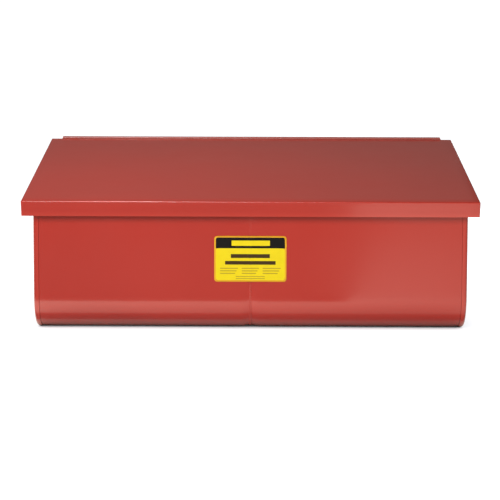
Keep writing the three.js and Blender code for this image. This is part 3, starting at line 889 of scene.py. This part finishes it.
def label(yellow, gold, black, ink, faint):
    """A gold film with a black band over a yellow field, and generic bars where a label has
    its heading and its lines of print."""
    low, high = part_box("label")
    x0, x1, z0, z1 = low.x, high.x, low.z, high.z
    width, height = x1 - x0, z1 - z0
    border, band_height = 3.2 * MM, 22 * MM
    inner_radius = LABEL_RADIUS - border + 1.5 * MM
    step = 0.06 * MM  # from each print to the next one over it
    backing = film("label_film", rounded_block(x0, x1, z0, z1, LABEL_RADIUS), 0, gold)
    thicken(backing, FILM, 1)
    band_low = z1 - border - band_height
    band = rounded_block(x0 + border, x1 - border, band_low, z1 - border, inner_radius, False)
    field = rounded_block(x0 + border, x1 - border, z0 + border, band_low + 0.2 * MM,
                          inner_radius * 1.3)
    pieces = [
        backing,
        film("label_band", band, FILM + step, black),
        film("label_field", field, FILM + 1.2 * step, yellow),
    ]

    def bar(name, left, right, bottom, top, material):
        """A bar whose edges are shares of the label's width and height."""
        shape = rounded_block(x0 + left * width, x0 + right * width,
                              z0 + bottom * height, z0 + top * height, 0.5 * MM)
        pieces.append(film(name, shape, FILM + 2.4 * step, material))

    bar("label_heading", 0.24, 0.77, 0.785, 0.900, yellow)
    bar("label_line_1", 0.23, 0.77, 0.520, 0.605, ink)
    bar("label_line_2", 0.15, 0.85, 0.375, 0.455, ink)
    for k, (left, right) in enumerate(((0.08, 0.33), (0.38, 0.62), (0.67, 0.92))):
        for line in range(3):
            top = 0.305 - line * 0.055
            bar(f"label_print_{k}_{line}", left, right - 0.02 * line, top - 0.022, top, faint)
    for line in range(2):
        top = 0.125 - line * 0.045
        bar(f"label_foot_{line}", 0.30, 0.70, top - 0.018, top, faint)
    return pieces


# ---- folded and turned fittings ----

LID_FRAME = Matrix.Translation(PIN) @ Matrix.Rotation(SLOPE, 4, "X")
# Turns a plate drawn in X-Y so that it stands square to the X axis, drawn in Y-Z.
STANDING = Matrix(((0, 0, 1, 0), (1, 0, 0, 0), (0, 1, 0, 0), (0, 0, 0, 1)))
# Turns sheet that is folded along Y so that its folds run along X.
SIDEWAYS = Matrix(((0, 1, 0, 0), (1, 0, 0, 0), (0, 0, 1, 0), (0, 0, 0, 1)))


def folded_sheet(name, corners, radius, length, thickness, matrix, material):
    """Sheet folded along the local Y axis; its middle follows the corners in the X-Z plane."""
    places = [Vector((x, 0, z)) for x, z in corners]
    path = rounded_path(places, [radius] * (len(places) - 2), 5)
    steps = max(1, round(length / (45 * MM)))
    bm = grid_surface(len(path), steps + 1,
                      lambda i, j: path[i] + Vector((0, length * j / steps, 0)))
    bmesh.ops.transform(bm, verts=bm.verts, matrix=matrix)
    obj = new_object(name, bm, material, 40)
    thicken(obj, thickness, 0)
    round_folds(obj, 0.25 * MM, 2, 50)
    return bake(obj, 40)


def shelf_ledge(node, material):
    """An angle spot-welded along the wall; its upright leg is the one next to the wall."""
    low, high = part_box(node)
    sheet = BRACKET_SHEET
    at_front = low.y < 0
    leg = low.y + sheet / 2 if at_front else high.y - sheet / 2
    tip = high.y if at_front else low.y
    top = high.z - sheet / 2
    corners = [(leg, low.z), (leg, top), (tip, top)]
    matrix = Matrix.Translation((low.x, 0, 0)) @ SIDEWAYS
    return folded_sheet(node.replace("shelf_ledge", "ledge"), corners, 2.2 * MM,
                        high.x - low.x, sheet, matrix, material)


def stiffener(material):
    """The hat section under the middle of the lid."""
    low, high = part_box("lid_stiffener")
    half, depth = 30 * MM, 13 * MM
    nearest, length = 45 * MM, 440 * MM
    top = LID_UNDER - GAP - SHEET / 2
    corners = [(low.x, top), (-half, top), (depth / 2 - half, top - depth),
               (half - depth / 2, top - depth), (half, top), (high.x, top)]
    matrix = LID_FRAME @ Matrix.Translation((0, -nearest - length, 0))
    return folded_sheet("stiffener_hat", corners, 2.5 * MM, length, SHEET, matrix, material)


def dome(x, height, radius, steps=6):
    """The profile of a low round head that begins at x."""
    points = [(x, 0)]
    for step in range(1, steps + 1):
        turn = math.pi / 2 * step / steps
        points.append((x + 0.8 * height * (1 - math.cos(turn)), radius * math.sin(turn)))
    points.append((x + height, radius))
    return points



def middle_of(node):
    low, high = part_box(node)
    return (low + high) / 2


STUD = middle_of("stay_stud")
# In the lid's own axes: the stay's pivot, and the height and places of the link's two rivets.
PIVOT = LID_FRAME.inverted() @ STAY_PIVOT
LINK_Z = -20 * MM
LINK_FRONT = PIVOT.y + 22 * MM
LINK_BACK = LINK_FRONT + 32 * MM
PIVOT_HOLE = 3.3 * MM
LINK_HOLE = 2.3 * MM


def stay_bracket(material):
    """The angle under the lid that carries the stay."""
    low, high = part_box("stay_bracket")
    sheet = BRACKET_SHEET
    length = 105 * MM
    leg = high.x - sheet / 2
    top = LID_UNDER - GAP - sheet / 2
    corners = [(low.x, top), (leg, top), (leg, PIVOT.z - 11 * MM)]
    matrix = LID_FRAME @ Matrix.Translation((0, LINK_BACK + 20 * MM - length, 0))
    return folded_sheet("bracket_angle", corners, 2.4 * MM, length, sheet, matrix, material)


def release_plate(material):
    """The plate that holds the stay's pivot, and that the fusible link holds."""
    low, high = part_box("release_plate")
    outline = rounded_rectangle((PIVOT.y - 18 * MM, PIVOT.z - 11 * MM),
                                (LINK_FRONT + 9 * MM, PIVOT.z + 14 * MM), 4 * MM)
    holes = [circle(PIVOT.y, PIVOT.z, PIVOT_HOLE), circle(LINK_FRONT, LINK_Z, LINK_HOLE)]
    matrix = LID_FRAME @ Matrix.Translation(((low.x + high.x) / 2, 0, 0)) @ STANDING
    return flat_plate("release_tab", outline, holes, high.x - low.x, matrix, material)


def link_half(name, centre, inward, x, thickness, material):
    """One of the two tabs that the solder holds together: round at its rivet, and square at
    the other end, which lies in the direction `inward`, 1 or -1."""
    radius, length = 6 * MM, 27 * MM
    end = length - radius
    outline = arc(0, 0, radius, math.pi / 2, math.pi, 16) + [(end, -radius), (end, radius)]
    loop = [(centre + inward * along, LINK_Z + up) for along, up in outline]
    matrix = LID_FRAME @ Matrix.Translation((x, 0, 0)) @ STANDING
    return flat_plate(name, loop, [circle(centre, LINK_Z, LINK_HOLE)], thickness, matrix,
                      material, 0.15 * MM)


def fusible_link(material, solder):
    """Two lapped tabs with a layer of solder between them."""
    low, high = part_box("fusible_link")
    half = (high.x - low.x) / 2
    sheet = half * 0.96
    tabs = [
        link_half("link_tab_front", LINK_FRONT, 1, low.x + half / 2, sheet, material),
        link_half("link_tab_back", LINK_BACK, -1, high.x - half / 2, sheet, material),
    ]
    matrix = LID_FRAME @ Matrix.Translation((low.x + half, (LINK_FRONT + LINK_BACK) / 2, LINK_Z))
    size = (half * 0.9, 9 * MM, 11 * MM)
    return *tabs, block("link_solder", size, 0.2 * MM, 2, matrix, solder)


def rivet(name, node, y, z, sizes, material, collar=None):
    """A headed pin in the lid's axes. Its sizes are the head's height and radius, and the
    radii of the shank and of the collar, which lies between two of the pieces that it holds."""
    low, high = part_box(node)
    head, head_radius, shank, collar_radius = sizes
    edge = 0.3 * MM
    profile = dome(low.x, head, head_radius) + [(low.x + head, shank)]
    if collar:
        start, end = collar
        profile += [(start, shank), (start, collar_radius - edge), (start + edge, collar_radius),
                    (end - edge, collar_radius), (end, collar_radius - edge), (end, shank)]
    profile += [(high.x - edge, shank), (high.x, shank - edge), (high.x, 0)]
    return lathe(name, profile, LID_FRAME @ Vector((0, y, z)), material, 40)


def stay_arm(material):
    """The slotted arm: it hangs from the lid's pivot, and its slot runs on the stud."""
    low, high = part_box("stay_arm")
    reach = math.hypot(STUD.y - STAY_PIVOT.y, STUD.z - STAY_PIVOT.z)
    lean = math.atan2(STUD.y - STAY_PIVOT.y, STAY_PIVOT.z - STUD.z)
    half = 9 * MM
    slot = 3.6 * MM
    extent = (high.z - STAY_PIVOT.z - half) + (STAY_PIVOT.z - low.z - half)
    end = -extent / math.cos(lean)
    outline = stadium((0, 0), (0, end), half, 16)
    holes = [circle(0, 0, PIVOT_HOLE), stadium((0, -reach), (0, end + 3 * MM), slot, 12)]
    middle = Matrix.Translation(((low.x + high.x) / 2, STAY_PIVOT.y, STAY_PIVOT.z))
    matrix = middle @ Matrix.Rotation(lean, 4, "X") @ STANDING
    return flat_plate("slotted_arm", outline, holes, high.x - low.x, matrix, material, 0.4 * MM)


def drain_shelf(material):
    """The slotted plate, with a lip turned down at each end between the ledges."""
    low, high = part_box("drain_shelf")
    sheet = BRACKET_SHEET
    bend, clear = 2.5 * MM, 26 * MM
    middle = high.z - sheet / 2
    width = high.y - low.y - 2 * clear
    outline = rounded_rectangle((low.x + bend, low.y), (high.x - bend, high.y), 3 * MM)
    slot_columns, slot_rows, slot_radius = 10, 12, 4 * MM
    column_pitch = (high.x - low.x) / slot_columns
    row_pitch = width / slot_rows
    reach = column_pitch / 3 - slot_radius
    slots = []
    for column in range(slot_columns):
        for row in range(slot_rows):
            x = low.x + column_pitch * (column + 0.5)
            y = low.y + clear + row_pitch * (row + 0.5)
            slots.append(stadium((x - reach, y), (x + reach, y), slot_radius, 8))
    plate = flat_plate("shelf_plate", outline, slots, sheet, Matrix.Translation((0, 0, middle)),
                       material, 0.25 * MM)
    pieces = [plate]
    for name, edge, side in (("shelf_lip_left", low.x, 1), ("shelf_lip_right", high.x, -1)):
        corners = [(edge + side * (bend + 0.1 * MM), middle), (edge + side * sheet / 2, middle),
                   (edge + side * sheet / 2, low.z)]
        matrix = Matrix.Translation((0, low.y + clear, 0))
        pieces.append(folded_sheet(name, corners, 1.6 * MM, width, sheet, matrix, material))
    return pieces


COUPLING_LOW, COUPLING_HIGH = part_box("drain_coupling")
COUPLING_RADIUS = (COUPLING_HIGH.z - COUPLING_LOW.z) / 2
DRAIN = Vector((0, *middle_of("drain_coupling").yz))  # the axis of the coupling and the plug
THREAD_PITCH = 2.2 * MM
THREAD_DEPTH = 0.7 * MM


def coupling(material):
    """A half coupling, chamfered at both ends and threaded inside."""
    inner, outer = COUPLING_LOW.x, COUPLING_HIGH.x
    radius, bore, chamfer = COUPLING_RADIUS, COUPLING_RADIUS - 3.2 * MM, 0.9 * MM
    turns = int((outer - inner - 2 * chamfer) / THREAD_PITCH)
    start = (inner + outer - turns * THREAD_PITCH) / 2
    profile = [(inner, radius - chamfer), (inner + chamfer, radius), (outer - chamfer, radius),
               (outer, radius - chamfer), (outer, bore + chamfer)]
    for turn in reversed(range(turns)):
        crest, root = start + (turn + 0.75) * THREAD_PITCH, start + (turn + 0.25) * THREAD_PITCH
        profile += [(crest, bore), (root, bore + THREAD_DEPTH)]
    profile += [(inner, bore + chamfer), (inner, radius - chamfer)]
    return lathe("half_coupling", profile, DRAIN, material, 64)


def coupling_weld(material):
    """The fillet that joins the coupling to the end panel, rippled round its length."""
    segments = 96
    # Places across the fillet: how far out of the panel and from the coupling, in millimetres.
    section = [(-0.2, 5.2), (0.4, 4.9), (1.5, 3.4), (2.9, 1.7), (4.3, 0.5), (4.6, -0.2)]

    def point(i, j):
        turn = 2 * math.pi * j / segments
        ripple = 1 + 0.10 * math.sin(turn * 41) + 0.10 * noise.noise(Vector((turn * 3, 1, 4)))
        outward, away = section[i]
        around = COUPLING_RADIUS + away * MM * ripple
        x = HALF_TANK + outward * MM * ripple
        return DRAIN + Vector((x, around * math.cos(turn), around * math.sin(turn)))

    bm = grid_surface(len(section), segments + 1, point)
    bmesh.ops.remove_doubles(bm, verts=bm.verts, dist=1e-6)
    return new_object("coupling_fillet", bm, material, 60)


def drain_plug(material):
    """The threaded plug and its square head."""
    low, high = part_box("drain_plug")
    radius = (high.y - low.y) / 2
    head, square = 8 * MM, 15 * MM
    face = high.x - head
    turns = int((face - low.x - 2 * MM) / THREAD_PITCH)
    profile = [(low.x, 0), (low.x, radius - 2 * THREAD_DEPTH)]
    for turn in range(turns):
        at = low.x + 0.8 * MM + turn * THREAD_PITCH
        root, crest = at + 0.25 * THREAD_PITCH, at + 0.75 * THREAD_PITCH
        profile += [(root, radius - THREAD_DEPTH), (crest, radius)]
    profile += [(face - THREAD_DEPTH, radius), (face, radius - THREAD_DEPTH), (face, 0)]
    thread = lathe("plug_thread", profile, DRAIN, material, 64)
    sunk = 0.3 * MM  # how far the head reaches into the thread's end
    matrix = Matrix.Translation(DRAIN + Vector((high.x - head / 2 - sunk, 0, 0)))
    size = (head + 2 * sunk, square, square)
    return thread, block("plug_square", size, 0.9 * MM, 3, matrix, material, 0.94)


# ---- assembly ----

camera()
studio()

red = paint_material("red_powder_coat")
# The hinge's copy of the red paint: darker as painted shade, and rougher.
shaded_rough_red = paint_material("red_on_hinge_painted_shade", (0.36, 0.055, 0.040), (0.48, 0.60))
zinc = zinc_material("zinc_plate")
brass = brass_material("dull_brass")
gold_film = film_material("label_gold", (0.82, 0.42, 0.02))
yellow_film = film_material("label_yellow", (0.86, 0.68, 0.008))
black_film = film_material("label_black", (0.010, 0.008, 0.007))
ink_film = film_material("label_ink", (0.065, 0.035, 0.010))
faint_film = film_material("label_faint_ink", (0.50, 0.36, 0.02))

for side_name, side_sign in (("left", -1), ("right", 1)):
    half_shell = shell_half(f"shell_skin_{side_name}", side_sign, red)
    place(half_shell, "tank", "red_paint", f"shell_{side_name}")
place(weld_bead(red), "tank", "red_paint", "centre_weld")
left_end = end_panel("end_skin_left", -1, red)
place(left_end, "tank", "red_paint", "end_panel_left")
right_end = end_panel("end_skin_right", 1, red)
drill(right_end, COUPLING_RADIUS + 0.1 * MM, DRAIN + Vector((HALF_TANK, 0, 0)), red)
place(right_end, "tank", "red_paint", "end_panel_right")

place(lid_skin(red), "lid", "red_paint", "lid_pan")
place(hinge_leaf("leaf_fixed", -1, 0, shaded_rough_red), "tank", "red_paint", "hinge_leaf_fixed")
place(hinge_leaf("leaf_moving", 1, 1, shaded_rough_red), "lid", "red_paint", "hinge_leaf_moving")
place(hinge_pin(zinc), "tank", "zinc_steel", "hinge_pin")

label_film, *prints = label(yellow_film, gold_film, black_film, ink_film, faint_film)
place(label_film, "tank", "label_film", "label")
for piece in prints:
    place(piece, "tank", "label_film")

for wall in ("front", "back"):
    place(shelf_ledge(f"shelf_ledge_{wall}", red), "tank", "red_paint", f"shelf_ledge_{wall}")
place(stiffener(red), "lid", "red_paint", "lid_stiffener")
place(stay_bracket(zinc), "lid", "zinc_steel", "stay_bracket")
place(release_plate(zinc), "lid", "zinc_steel", "release_plate")
front_tab, back_tab, solder = fusible_link(brass, zinc)
place(front_tab, "lid", "brass", "fusible_link")
place(back_tab, "lid", "brass")
place(solder, "lid", "zinc_steel")

past_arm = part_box("stay_arm")[1].x + GAP
past_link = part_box("fusible_link")[1].x + GAP
bracket_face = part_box("stay_bracket")[1].x - BRACKET_SHEET
link_rivet_sizes = (1.1 * MM, 4 * MM, 2 * MM, 4 * MM)
pivot_sizes = (2 * MM, 6.5 * MM, 3 * MM, 5.5 * MM)
front_rivet = rivet("rivet_front", "link_rivet_front", LINK_FRONT, LINK_Z, link_rivet_sizes, brass)
place(front_rivet, "lid", "brass", "link_rivet_front")
back_rivet = rivet("rivet_back", "link_rivet_back", LINK_BACK, LINK_Z, link_rivet_sizes, brass,
                   (past_link, bracket_face - GAP))
place(back_rivet, "lid", "brass", "link_rivet_back")
pivot_pin = rivet("pivot_pin", "pivot_rivet", PIVOT.y, PIVOT.z, pivot_sizes, zinc,
                  (past_arm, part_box("release_plate")[0].x - GAP))
place(pivot_pin, "lid", "zinc_steel", "pivot_rivet")
stud_in_lid = LID_FRAME.inverted() @ STUD
arm_stud = rivet("arm_stud", "stay_stud", stud_in_lid.y, stud_in_lid.z, pivot_sizes, zinc,
                 (past_arm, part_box("stay_stud")[1].x - 0.4 * MM))
place(arm_stud, "tank", "zinc_steel", "stay_stud")
place(stay_arm(zinc), "stay", "zinc_steel", "stay_arm")

shelf_plate, *shelf_lips = drain_shelf(zinc)
place(shelf_plate, "shelf", "zinc_steel", "drain_shelf")
for piece in shelf_lips:
    place(piece, "shelf", "zinc_steel")
place(coupling(zinc), "tank", "zinc_steel", "drain_coupling")
place(coupling_weld(red), "tank", "red_paint")
thread, plug_head = drain_plug(brass)
place(thread, "plug", "brass", "drain_plug")
place(plug_head, "plug", "brass")
